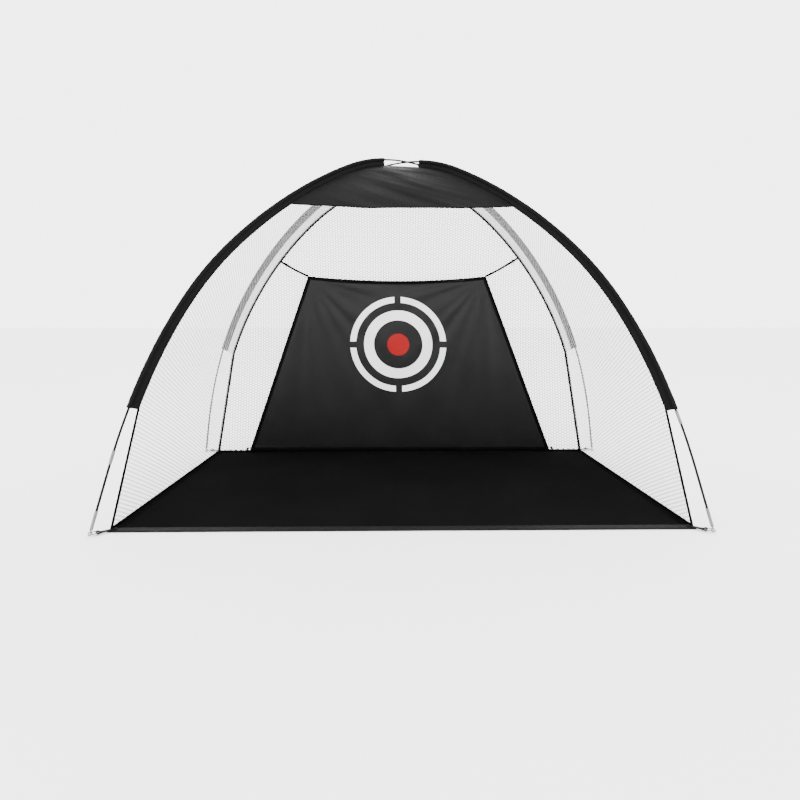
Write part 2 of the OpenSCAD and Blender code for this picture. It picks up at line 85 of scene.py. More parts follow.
# Degrees that each equal arc of a half pole turns, from the crossing to the foot.
FRONT_TURNS = (28, 10, 10, 14, 10, 8)
REAR_TURNS = (22, 16, 12, 12, 14, 12)
CORNERS = {"fl": (-1, -1), "fr": (1, -1), "rl": (-1, 1), "rr": (1, 1)}
SIDES = {"left": -1, "right": 1}
# Finishes that share one of the record's material slots. mat_binding and mat_edge are a lighter and a
# darker copy of the one hem cloth; the lighter one goes on the front hem as painted light.
SLOT_OF = {"sleeve_cloth": "black_polyester", "mat_edge": "mat_binding"}


def joint(name):
    return next(j for j in frame["record"]["behaviour"]["joints"] if j["name"] == name)


def mix(a, b, f):
    return a + (b - a) * f


def smooth(a, b, x):
    t = min(max((x - a) / (b - a), 0.0), 1.0)
    return t * t * (3 - 2 * t)


class Arch:
    """The two crossed poles. s runs from the crossing to a foot and n outwards from the pole."""

    def __init__(self, pole_r):
        foot = Vector(joint("pin_fr_slide")["pos_m"])
        self.foot_z = foot.z
        self.reach = math.hypot(foot.x, foot.y)
        self.cos, self.sin = foot.x / self.reach, -foot.y / self.reach
        top = {}
        for pole in "ab":
            boxes = [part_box(f"pole_{pole}_section_{i}") for i in range(1, 8)]
            top[pole] = max(b[1].z for b in boxes) - pole_r
        self.top = {"fl": top["a"], "rr": top["a"], "fr": top["b"], "rl": top["b"]}
        self.halves = {c: self.half(c) for c in CORNERS}

    def half(self, c):
        turns = FRONT_TURNS if c[0] == "f" else REAR_TURNS
        slopes, runs, falls = [0.0], [0.0], [0.0]
        for t in turns:
            a, b = slopes[-1], slopes[-1] + math.radians(t)
            runs.append(runs[-1] + (math.sin(b) - math.sin(a)) / (b - a))
            falls.append(falls[-1] + (math.cos(a) - math.cos(b)) / (b - a))
            slopes.append(b)
        e, drop = slopes[-1], self.top[c] - self.foot_z
        arc = (self.reach * math.sin(e) - drop * math.cos(e)) / (
            runs[-1] * math.sin(e) - falls[-1] * math.cos(e)
        )
        return slopes, runs, falls, arc

    def slope(self, c, s):
        slopes, _, _, arc = self.halves[c]
        i = min(int(s / arc), len(slopes) - 1)
        if i == len(slopes) - 1:
            return slopes[i]
        return mix(slopes[i], slopes[i + 1], s / arc - i)

    def point(self, c, s, n=0.0, y=0.0):
        slopes, runs, falls, arc = self.halves[c]
        i = min(int(s / arc), len(slopes) - 1)
        u, e, a = s - i * arc, slopes[i], self.slope(c, s)
        if i == len(slopes) - 1:
            dr, dz = u * math.cos(e), u * math.sin(e)
        else:
            q = arc / (slopes[i + 1] - e)
            dr, dz = q * (math.sin(a) - math.sin(e)), q * (math.cos(e) - math.cos(a))
        r = arc * runs[i] + dr + n * math.sin(a)
        z = self.top[c] - arc * falls[i] - dz + n * math.cos(a)
        sx, sy = CORNERS[c]
        cx, cy = sx * self.cos, sy * self.sin
        return Vector((r * cx - y * cy, r * cy + y * cx, z))


# Meshes


def finish_object(name, bm, slot, body, replaces=(), smooth_faces=True):
    mesh = bpy.data.meshes.new(name)
    bm.to_mesh(mesh)
    bm.free()
    if smooth_faces:
        mesh.shade_smooth()
    obj = bpy.data.objects.new(name, mesh)
    bpy.context.scene.collection.objects.link(obj)
    mesh.materials.append(MADE[slot])
    SLOT_OF.get(slot, slot)
    if replaces:
        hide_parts(*replaces)
    if body:
        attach(obj, body)
    return obj


def uv_layer(bm):
    return bm.loops.layers.uv.get("UVMap") or bm.loops.layers.uv.new("UVMap")


def grid(bm, rows, uvs, ring=False):
    """Faces over rows of points. ring joins the last column to the first."""
    layer = uv_layer(bm)
    made = [[bm.verts.new(p) for p in row] for row in rows]
    wide = len(rows[0])
    faces = []
    for j in range(len(rows) - 1):
        for i in range(wide if ring else wide - 1):
            k = (i + 1) % wide
            f = bm.faces.new((made[j][i], made[j][k], made[j + 1][k], made[j + 1][i]))
            ends = ((j, i), (j, i + 1), (j + 1, i + 1), (j + 1, i))
            for loop, (a, b) in zip(f.loops, ends):
                loop[layer].uv = uvs[a][b]
            faces.append(f)
    return made, faces


def thicken(obj, thickness, offset=0.0):
    mod = obj.modifiers.new("Thickness", "SOLIDIFY")
    mod.thickness = thickness
    mod.offset = offset
    return obj


def tube(bm, path, radius, sides, bumps=0.0):
    """A closed round tube along a path of points."""
    rows, uvs, length = [], [], 0.0
    side = None
    for j, p in enumerate(path):
        t = (path[min(j + 1, len(path) - 1)] - path[max(j - 1, 0)]).normalized()
        if side is None:
            side = t.orthogonal().normalized()
        side = (side - t * side.dot(t)).normalized()
        up = t.cross(side)
        r = radius * (1 + bumps * math.sin(j * 2.1))
        ring = [k * 2 * math.pi / sides for k in range(sides)]
        rows.append([p + (side * math.cos(a) + up * math.sin(a)) * r for a in ring])
        if j:
            length += (p - path[j - 1]).length
        uvs.append([(k * 2 * math.pi * radius / sides, length) for k in range(sides + 1)])
    made, _ = grid(bm, rows, uvs, ring=True)
    bmesh.ops.contextual_create(bm, geom=made[0])
    bmesh.ops.contextual_create(bm, geom=made[-1])
    bmesh.ops.recalc_face_normals(bm, faces=bm.faces[:])


def polyline(points, step):
    """Evenly spaced points on straight lines between the given ones."""
    out = [points[0]]
    for a, b in zip(points, points[1:]):
        count = max(1, round((b - a).length / step))
        out += [a.lerp(b, (k + 1) / count) for k in range(count)]
    return out


def spline(points, count):
    """A smooth line through the points."""
    out = []
    ends = [2 * points[0] - points[1]] + points + [2 * points[-1] - points[-2]]
    for k in range(1, len(ends) - 2):
        a, b, c, d = ends[k - 1 : k + 3]
        for m in range(count):
            t = m / count
            out.append(
                0.5
                * (
                    2 * b
                    + (c - a) * t
                    + (2 * a - 5 * b + 4 * c - d) * t**2
                    + (3 * b - a - 3 * c + d) * t**3
                )
            )
    return out + [points[-1]]


def net(left, right, settings, sag):
    """A net of six-sided cells between two edges, cut flat and hung."""
    count = len(left) - 1
    run = [0.0]
    for i in range(count):
        a, b = (left[i] + right[i]) / 2, (left[i + 1] + right[i + 1]) / 2
        run.append(run[-1] + (b - a).length)

    def place(x, s):
        s = min(max(s, 0.0), run[-1])
        i = next(k for k in range(count) if s <= run[k + 1] + 1e-9)
        f = (s - run[i]) / (run[i + 1] - run[i])
        a, b = left[i].lerp(left[i + 1], f), right[i].lerp(right[i + 1], f)
        half = (b - a).length / 2
        g = min(max(0.5 + x / (2 * half), 0.0), 1.0)
        p = a.lerp(b, g)
        inward = sag.normalized() * 4 * g * (1 - g) * sag.length * math.sin(math.pi * s / run[-1])
        return p + inward, half

    c, h = settings.cell_w / 3, settings.cell_h / 2
    bm = bmesh.new()
    layer = uv_layer(bm)
    verts = {}

    def vertex(i, j):
        if (i, j) not in verts:
            verts[i, j] = bm.verts.new(place(i * c, j * h)[0])
        return verts[i, j]

    widest = max((b - a).length for a, b in zip(left, right)) / 2
    columns = int(widest / settings.cell_w) + 1
    cells = []
    for i in range(-columns, columns + 1):
        for j in range(int(run[-1] / settings.cell_h) + 1):
            row = 2 * j + 1 + i % 2
            if row * h > run[-1]:
                continue
            half = place(0, row * h)[1]
            if abs(i) * settings.cell_w - 2 * c > half - 0.003:
                continue
            around = ((-1, -1), (1, -1), (2, 0), (1, 1), (-1, 1), (-2, 0))
            loop = [vertex(3 * i + a, row + b) for a, b in around]
            face = bm.faces.new(loop)
            face.normal_update()
            if face.calc_area() < 2e-5:
                bm.faces.remove(face)
                continue
            for corner, (a, b) in zip(face.loops, around):
                corner[layer].uv = ((3 * i + a) * c, (row + b) * h)
            cells.append(face)
    bmesh.ops.inset_individual(
        bm, faces=cells, thickness=settings.strand / 2, use_even_offset=False
    )
    bmesh.ops.delete(bm, geom=cells, context="FACES")
    loose = [v for v in bm.verts if not v.link_faces]
    bmesh.ops.delete(bm, geom=loose, context="VERTS")
    return bm


# Shading


class Value:
    """A number in a material, that adds, subtracts, multiplies and divides."""

    def __init__(self, tree, socket):
        self.tree, self.socket = tree, socket

    def math(self, operation, *others, first=None):
        node = self.tree.nodes.new("ShaderNodeMath")
        node.operation = operation
        args = [self, *others] if first is None else [first, self, *others]
        for slot, arg in zip(node.inputs, args):
            if isinstance(arg, Value):
                self.tree.links.new(arg.socket, slot)
            else:
                slot.default_value = arg
        return Value(self.tree, node.outputs[0])

    def __add__(self, o):
        return self.math("ADD", o)

    __radd__ = __add__

    def __sub__(self, o):
        return self.math("SUBTRACT", o)

    def __rsub__(self, o):
        return self.math("SUBTRACT", first=o)

    def __mul__(self, o):
        return self.math("MULTIPLY", o)

    __rmul__ = __mul__

    def __truediv__(self, o):
        return self.math("DIVIDE", o)

    def __rtruediv__(self, o):
        return self.math("DIVIDE", first=o)

    def below(self, o):
        return self.math("LESS_THAN", o)

    def above(self, o):
        return self.math("GREATER_THAN", o)

    def wave(self, period):
        return (self * (2 * math.pi / period)).math("SINE")

    def size(self):
        return self.math("ABSOLUTE")

    def clipped(self):
        return self.math("MINIMUM", 1.0).math("MAXIMUM", 0.0)


MADE = {}


class Finish:
    """A material under construction."""

    def __init__(self, name):
        self.material = MADE[name] = bpy.data.materials.new(f"net_{name}")
        self.material.use_nodes = True
        self.tree = self.material.node_tree
        self.surface = self.tree.nodes["Principled BSDF"]

    def node(self, kind, settings=(), inputs=()):
        made = self.tree.nodes.new(kind)
        for key, value in dict(settings).items():
            setattr(made, key, value)
        for key, value in dict(inputs).items():
            self.join(value, made.inputs[key])
        return made

    def join(self, value, slot):
        if isinstance(value, Value):
            self.tree.links.new(value.socket, slot)
        elif isinstance(value, bpy.types.NodeSocket):
            self.tree.links.new(value, slot)
        else:
            slot.default_value = value

    def set(self, name, value):
        self.join(value, self.surface.inputs[name])

    def coordinates(self, kind):
        vector = self.node("ShaderNodeTexCoord").outputs[kind]
        parts = self.node("ShaderNodeSeparateXYZ", inputs={0: vector}).outputs
        return vector, [Value(self.tree, p) for p in parts]

    def cloud(self, vector, scale, detail=3.0):
        inputs = {"Vector": vector, "Scale": scale, "Detail": detail}
        made = self.node("ShaderNodeTexNoise", inputs=inputs)
        return Value(self.tree, made.outputs["Fac"])

    def blend(self, amount, a, b):
        made = self.node("ShaderNodeMix", {"data_type": "RGBA"})
        self.join(amount, made.inputs[0])
        self.join(a, made.inputs[6])
        self.join(b, made.inputs[7])
        return made.outputs[2]

    def bump(self, height, strength, distance):
        inputs = {"Height": height, "Strength": strength, "Distance": distance}
        self.set("Normal", self.node("ShaderNodeBump", inputs=inputs).outputs[0])


def grey(level, tint=0.0):
    return (level, level, level * (1 + tint), 1.0)


def cloth(name, dark, light, thread, rough, sheen, bump, gloss=0.3, kind="UV"):
    """Plain weave with worn patches. thread is the width of a thread."""
    m = Finish(name)
    vector, (u, v, w) = m.coordinates(kind)
    if kind == "Object":
        u = u + w
    weave = u.wave(2 * thread) * v.wave(2 * thread)
    broad = m.cloud(vector, 9.0)
    fine = m.cloud(vector, 160.0)
    amount = (weave * 0.18 + broad * 0.5 + fine * 0.35).clipped()
    m.set("Base Color", m.blend(amount, dark, light))
    m.set("Roughness", rough - 0.12 * weave.size() + 0.1 * fine)
    m.set("Sheen Weight", sheen)
    m.set("Specular IOR Level", gloss)
    m.bump(weave + fine * 0.6, bump, 0.0006)
    return m


def make_materials():
    m = Finish("pole_fibre")
    vector, _ = m.coordinates("Object")
    fine, broad = m.cloud(vector, 420.0), m.cloud(vector, 30.0)
    m.set("Base Color", m.blend(broad, grey(0.002), grey(0.008)))
    m.set("Specular IOR Level", 0.05)
    m.set("Roughness", 0.4 + 0.16 * fine)
    m.set("Coat Weight", 0.02 * broad)
    m.bump(fine, 0.15, 0.0002)

    m = Finish("steel")
    vector, (_, _, z) = m.coordinates("Object")
    lines = z.wave(0.0009)
    fine, broad = m.cloud(vector, 900.0), m.cloud(vector, 60.0)
    m.set("Base Color", m.blend(broad, grey(0.08, 0.03), grey(0.22, 0.02)))
    m.set("Metallic", 1.0)
    m.set("Roughness", 0.3 + 0.12 * fine + 0.03 * lines)
    m.bump(lines + fine, 0.05, 0.0001)

    cloth("black_polyester", grey(0.001), grey(0.003, 0.08), 0.0007, 0.42, 0.0, 0.25, 0.055)
    cloth("sleeve_cloth", grey(0.001), grey(0.006, 0.06), 0.0007, 0.6, 0.005, 0.35, 0.035)
    cloth("webbing", grey(0.001), grey(0.005), 0.0011, 0.7, 0.0, 0.8, 0.08)
    cloth("black_binding", grey(0.001), grey(0.006, 0.05), 0.0012, 0.65, 0.0, 0.7, 0.0)
    cloth("white_tape", grey(0.62), grey(0.84), 0.0009, 0.8, 0.1, 0.5)
    # mat_binding: the lighter copy of the hem cloth, painted light for the front hem (the sleeve
    # stitches use it too); mat_edge below is the plain dark copy for the other hems.
    cloth("mat_binding", grey(0.003), grey(0.010, 0.03), 0.0012, 0.7, 0.0, 0.6, 0.05)
    cloth("mat_edge", grey(0.001), grey(0.006, 0.05), 0.0012, 0.65, 0.0, 0.7, 0.0)
    cloth("cord", grey(0.001), grey(0.006), 0.0009, 0.7, 0.0, 0.9, 0.0, "Object")

    m = Finish("white_net")
    vector, _ = m.coordinates("UV")
    fine, broad = m.cloud(vector, 900.0), m.cloud(vector, 5.0)
    m.set("Base Color", m.blend(fine * 0.6 + broad * 0.4, grey(0.38), grey(0.6)))
    m.set("Roughness", 0.7 + 0.15 * fine)
    m.bump(fine, 0.3, 0.0004)

    m = Finish("woven_mat")
    vector, (u, v, _) = m.coordinates("UV")
    tapes = u.wave(0.005).size() * 0.6 + v.wave(0.005).size() * 0.6
    checks = u.wave(0.005) * v.wave(0.005)
    broad, fine = m.cloud(vector, 3.0), m.cloud(vector, 240.0)
    amount = (checks * 0.25 + broad * 0.6 + fine * 0.25).clipped()
    m.set("Base Color", m.blend(amount, grey(0.0022), grey(0.006)))
    m.set("Roughness", 0.6 + 0.2 * fine)
    m.set("Specular IOR Level", 0.0)
    m.bump(tapes + fine * 0.3, 0.5, 0.0008)
    target_material()


def target_material():
    """Black cloth printed with rings round a red disc, in metres from the print's middle."""
    m = Finish("target_cloth")
    s = bpy.context.scene.chipping_net
    vector, (u, v, _) = m.coordinates("UV")
    x, y = u, v - s.print_height
    r = (x * x + y * y).math("SQRT")
    apart = (x.size().above(s.print_gap / 2) * y.size().above(s.print_gap / 2)).clipped()
    outer = r.below(s.outer_ring) * r.above(s.outer_ring - s.outer_width) * apart
    middle = r.below(s.inner_ring) * r.above(s.inner_ring - s.inner_width)
    disc = r.below(s.disc)
    weave = u.wave(0.0014) * v.wave(0.0014)
    broad, fine = m.cloud(vector, 7.0), m.cloud(vector, 300.0)
    base = m.blend((broad * 0.6 + fine * 0.3 + weave * 0.15).clipped(), grey(0.001), grey(0.006, 0.05))
    ink = m.blend(fine, grey(0.78), grey(0.9))
    red = m.blend(fine, (0.2, 0.0, 0.0005, 1), (0.25, 0.0, 0.001, 1))
    m.set("Base Color", m.blend(disc, m.blend((outer + middle).clipped(), base, ink), red))
    m.set("Roughness", 0.42 + 0.1 * fine)
    m.set("Specular IOR Level", 0.2)
    m.bump(weave + fine * 0.5, 0.3, 0.0005)


# Settings


class ChippingNetSettings(bpy.types.PropertyGroup):
    pole_r: FloatProperty(
        name="Pole radius", description="Outer radius of the poles", default=0.004, unit="LENGTH"
    )
    sleeve_start: FloatProperty(
        name="Sleeve start", description="Along the pole", default=0.092, unit="LENGTH"
    )
    front_end: FloatProperty(
        name="Front sleeve end", description="Along the pole", default=1.540, unit="LENGTH"
    )
    rear_end: FloatProperty(
        name="Rear sleeve end", description="Along the pole", default=1.440, unit="LENGTH"
    )
    sleeve_r: FloatProperty(
        name="Channel radius", description="Round the pole", default=0.0088, unit="LENGTH"
    )
    flap: FloatProperty(
        name="Flap depth", description="Pole to net edge", default=0.0318, unit="LENGTH"
    )
    seam_drop: FloatProperty(
        name="Seam depth", description="Rear pole to seam", default=0.076, unit="LENGTH"
    )
    brow_end: FloatProperty(
        name="Brow end", description="Along the front poles", default=0.6, unit="LENGTH"
    )
    cell_w: FloatProperty(
        name="Cell width", description="Between net columns", default=0.0135, unit="LENGTH"
    )
    cell_h: FloatProperty(
        name="Cell height", description="Between net rows", default=0.0133, unit="LENGTH"
    )
    strand: FloatProperty(
        name="Strand", description="Twice what a cell corner moves in", default=0.0036, unit="LENGTH"
    )
    hem: FloatProperty(name="Mat hem", description="Width", default=0.03, unit="LENGTH")
    lean: FloatProperty(
        name="Target lean", description="From upright", default=math.radians(12.5), unit="ROTATION"
    )
    target_h: FloatProperty(
        name="Target height", description="Along the sheet", default=0.892, unit="LENGTH"
    )
    target_top: FloatProperty(
        name="Target top", description="Half width", default=0.449, unit="LENGTH"
    )
    target_shift: FloatProperty(
        name="Target shift", description="Top edge sideways", default=-0.018, unit="LENGTH"
    )
    target_sag: FloatProperty(
        name="Target sag", description="Top edge", default=0.024, unit="LENGTH"
    )
    print_height: FloatProperty(
        name="Print height", description="Up the sheet", default=0.545, unit="LENGTH"
    )
    outer_ring: FloatProperty(name="Outer ring", description="Radius", default=0.243, unit="LENGTH")
    outer_width: FloatProperty(name="Outer width", description="Band", default=0.03, unit="LENGTH")
    inner_ring: FloatProperty(name="Inner ring", description="Radius", default=0.173, unit="LENGTH")
    inner_width: FloatProperty(name="Inner width", description="Band", default=0.05, unit="LENGTH")
    disc: FloatProperty(name="Disc", description="Radius", default=0.056, unit="LENGTH")
    print_gap: FloatProperty(name="Ring gap", description="Width", default=0.032, unit="LENGTH")
    sheet_rows: IntProperty(name="Cloth rows", description="Rows of faces", default=90)


class Step(bpy.types.Operator):
    bl_options = {"REGISTER", "UNDO"}

    @property
    def s(self):
        return bpy.context.scene.chipping_net

    @property
    def arch(self):
        return Arch(self.s.pole_r)


def mat_corner(sx, front):
    """A mat corner where the net's edge comes down."""
    lo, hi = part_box("mat_hem_front" if front else "mat_hem_rear")
    if front:
        return Vector((sx * (hi.x - 0.008), lo.y + 0.010, 0.006))
    return Vector((sx * (hi.x - 0.016), hi.y - 0.022, 0.006))


def edge_points(arch, s, sx, front, n, count=44):
    """Net edge: under a sleeve, then straight down to the mat."""
    c = ("f" if front else "r") + ("l" if sx < 0 else "r")
    end = s.front_end if front else s.rear_end
    knee, corner = (0.8 if front else 0.75), mat_corner(sx, front)
    out = []
    for i in range(count + 1):
        f = i / count
        if f < knee:
            out.append(arch.point(c, mix(s.sleeve_start + 0.026, end, f / knee), -n))
        else:
            out.append(arch.point(c, end, -n).lerp(corner, (f - knee) / (1 - knee)))
    return out


class NET_OT_hardware(Step):
    """Finish the poles, ferrules, tips, pins and rings"""

    bl_idname = "net.hardware"
    bl_label = "Poles and hardware"

    def execute(self, context):
        slots = {p["node"]: p["material_slot"] for p in frame["record"]["subparts"]}
        for name, obj in frame["nodes"].items():
            obj.data.materials.clear()
            obj.data.materials.append(MADE[slots[name]])
        return {"FINISHED"}


class NET_OT_sleeves(Step):
    """Sew the four pole sleeves and the webs under the rear ones"""

    bl_idname = "net.sleeves"
    bl_label = "Sleeves"

    def execute(self, context):
        s, arch = self.s, self.arch
        for c in CORNERS:
            end = s.front_end if c[0] == "f" else s.rear_end
            rows, uvs = [], []
            count = 170
            for j in range(count + 1):
                d = mix(s.sleeve_start, end, j / count)
                rows.append([])
                uvs.append([])
                for k in range(26):
                    n, y, across = self.outline(k, s)
                    if k not in (0, 25):
                        pucker = noise.noise(Vector((d * 26, across * 60, ord(c[1]))))
                        fold = math.sin(d * 210 + 3 * across * 60) * 0.00035
                        grow = 1 + 0.06 * pucker
                        n, y = n + (n * grow - n) * (n > -0.01) + fold, y * (1 + 0.12 * pucker)
                    rows[-1].append(arch.point(c, d, n, y))
                    uvs[-1].append((across, d))
                uvs[-1].append((0.125, d))
            bm = bmesh.new()
            grid(bm, rows, uvs, ring=True)
            bmesh.ops.recalc_face_normals(bm, faces=bm.faces[:])
            obj = finish_object(f"cloth_sleeve_{c}", bm, "sleeve_cloth", "frame", [f"sleeve_{c}"])
            thicken(obj, 0.0007, -1)
            self.stitches(c, arch, s, end)
        for side, sx in SIDES.items():
            c = "r" + side[0]
            rows, uvs = [], []
            for j in range(121):
                d = mix(s.sleeve_start + 0.026, s.rear_end, j / 120)
                across = [mix(s.flap - 0.004, s.seam_drop, k / 6) for k in range(7)]
                ripple = [
                    0.0016 * math.sin(math.pi * k / 6) * noise.noise(Vector((d * 9, k * 0.3, sx)))
                    for k in range(7)
                ]
                rows.append([arch.point(c, d, -n, y) for n, y in zip(across, ripple)])
                uvs.append([(n, d) for n in across])
            bm = bmesh.new()
            grid(bm, rows, uvs)
            obj = finish_object(
                f"tape_rear_web_{side}", bm, "white_tape", "frame", [f"rear_web_{side}"]
            )
            thicken(obj, 0.0008)
        return {"FINISHED"}

    def outline(self, k, s):
        """Point k of 26 across a sleeve: flap, round the pole, and back down the flap."""
        start = math.radians(172)
        if k in (0, 1, 2):
            n = mix(-s.flap, -s.sleeve_r - 0.003, k / 2)
            return n, mix(0.0011, 0.0016, k / 2), 0.012 * k
        if k in (23, 24, 25):
            n = mix(-s.sleeve_r - 0.003, -s.flap, (k - 23) / 2)
            return n, -mix(0.0016, 0.0011, (k - 23) / 2), 0.10 + 0.012 * (k - 23)
        a = mix(start, -start, (k - 3) / 19)
        return s.sleeve_r * math.cos(a), s.sleeve_r * math.sin(a), 0.026 + 0.0036 * (k - 3)

    def stitches(self, c, arch, s, end):
        """A row of thread along the foot of the channel, on both faces."""
        bm = bmesh.new()
        pitch = 0.009
        for y in (-1, 1):
            for j in range(int((end - s.sleeve_start) / pitch) - 1):
                d = s.sleeve_start + (j + 0.5) * pitch
                path = [
                    arch.point(c, d + t * 0.0055, -s.sleeve_r - 0.0045, y * (0.0017 + lift))
                    for t, lift in ((0, -0.0004), (0.2, 0.0002), (0.8, 0.0002), (1, -0.0004))
                ]
                tube(bm, path, 0.0003, 4)
        finish_object(f"stitches_{c}", bm, "mat_binding", "frame")


class NET_OT_seams(Step):
    """Pipe the rear seams and bind the front net edges"""

    bl_idname = "net.seams"
    bl_label = "Seams"

    def execute(self, context):
        s, arch = self.s, self.arch
        for side, sx in SIDES.items():
            path = edge_points(arch, s, sx, False, s.seam_drop, 150)
            path[-1] = path[-1] + Vector((0, 0, 0.002))
            bm = bmesh.new()
            tube(bm, path, 0.0068, 12, 0.04)
            finish_object(
                f"piping_rear_{side}", bm, "black_binding", "frame", [f"rear_seam_{side}"]
            )
            c = "f" + side[0]
            top = arch.point(c, s.front_end - 0.004, -(s.flap - 0.0025))
            low = mat_corner(sx, True) + Vector((0, 0, 0.002))
            path = polyline([top, low], 0.008)
            bm = bmesh.new()
            tube(bm, path, 0.0040, 12, 0.06)
            finish_object(
                f"binding_front_{side}", bm, "black_binding", "frame", [f"front_edge_{side}"]
            )
        return {"FINISHED"}


class NET_OT_nets(Step):
    """Hang the two side nets and the back net"""

    bl_idname = "net.nets"
    bl_label = "Nets"

    def execute(self, context):
        s, arch = self.s, self.arch
        rear = {sx: edge_points(arch, s, sx, False, s.seam_drop) for sx in (-1, 1)}
        front_of = {}
        for side, sx in SIDES.items():
            front = front_of[sx] = edge_points(arch, s, sx, True, s.flap - 0.004)
            bm = net(front, rear[sx], s, Vector((-sx * 0.010, 0, 0)))
            obj = finish_object(
                f"netting_{side}", bm, "white_net", "frame", [f"side_net_{side}"], False
            )
            self.declare(obj, front, rear[sx])
        bm = bmesh.new()
        for a, b in ((rear[-1], rear[1]), (front_of[-1], rear[-1]), (front_of[1], rear[1])):
            ends = [a[-1] + Vector((0, 0.003, 0.002)), b[-1] + Vector((0, 0.003, 0.002))]
            tube(bm, polyline(ends, 0.012), 0.0042, 8, 0.08)
        finish_object("net_foot_tape", bm, "black_binding", "frame")
        bm = net(rear[-1], rear[1], s, Vector((0, 0.006, 0)))
        obj = finish_object("netting_back", bm, "white_net", "frame", ["back_net"], False)
        self.declare(obj, rear[-1], rear[1])
        return {"FINISHED"}

    def declare(self, obj, left, right):
        """Works out the flat area of the strands alone: a cell's corners move in by half a strand. The
        result is not kept.
        """
        wide = sum((b - a).length for a, b in zip(left, right)) / len(left)
        run = sum(
            ((left[i] + right[i]) / 2 - (left[i + 1] + right[i + 1]) / 2).length
            for i in range(len(left) - 1)
        )
        c, h, inset = self.s.cell_w / 3, self.s.cell_h / 2, self.s.strand / 2
        shift = (Vector((-1, 0)) + Vector((c, -h)).normalized()).normalized() * inset
        hole = 2 * (c + shift.x + 2 * c - inset) * (h + shift.y)
        strands = 1 - hole / (self.s.cell_w * self.s.cell_h)
        strands * wide * run


class NET_OT_brow(Step):
    """Sew in the brow over the mouth and the patch under the crossing"""

    bl_idname = "net.brow"
    bl_label = "Brow"

    def execute(self, context):
        s, arch = self.s, self.arch
        start = s.sleeve_start + 0.026
        rows, uvs = [], []
        count = 70
        for j in range(count + 1):
            f = j / count
            d = mix(start, s.brow_end, f)
            a, b = (arch.point(c, d, -s.flap + 0.006) for c in ("fl", "fr"))
            wide = (b - a).length
            rows.append([])
            uvs.append([])
            for i in range(151):
                g = i / 150
                p = a.lerp(b, g)
                hold = math.sin(math.pi * g) ** 0.6
                across = (g - 0.5) * wide
                down = f * 0.25
                lengthwise = across * 0.95 + down * 0.3
                crosswise = down * 0.95 - across * 0.3
                streak = noise.noise(Vector((lengthwise * 3.2, crosswise * 19, 4.0)))
                crease = noise.noise(Vector((lengthwise * 7, crosswise * 46, 9.0)))
                depth = (0.019 * streak + 0.0045 * crease) * hold * smooth(0, 0.15, f)
                drop = 0.012 * f * 4 * g * (1 - g)
                rows[-1].append(p + Vector((0, -0.001 + depth, 0.5 * depth - drop)))
                uvs[-1].append((across, d))
        bm = bmesh.new()
        grid(bm, rows, uvs)
        brow = finish_object("cloth_brow", bm, "black_polyester", "frame", ["brow_panel"])
        thicken(brow, 0.0008)
        bm = bmesh.new()
        tube(bm, rows[-1][2:-2], 0.0019, 8, 0.05)
        hem = finish_object("brow_hem", bm, "black_binding", "frame")
        wide = (rows[-1][0] - rows[-1][-1]).length
        mean = sum((row[0] - row[-1]).length for row in rows) / len(rows)
        lo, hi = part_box("apex_patch")
        rows, uvs = [], []
        for j in range(25):
            f = j / 24
            wide = (hi.x - lo.x) * 0.98
            y, z = mix(lo.y, hi.y, f), mix(hi.z, lo.z, f)
            rows.append([])
            uvs.append([])
            for i in range(41):
                g = i / 40
                x = (lo.x + hi.x) / 2 + (g - 0.5) * wide
                lift = 0.0035 * noise.noise(Vector((x * 24, y * 24, 2.0)))
                rows[-1].append(Vector((x, y, z + lift)))
                uvs[-1].append((x, y))
        bm = bmesh.new()
        grid(bm, rows, uvs)
        patch = finish_object("cloth_patch", bm, "black_polyester", "frame", ["apex_patch"])
        thicken(patch, 0.0008)
        return {"FINISHED"}


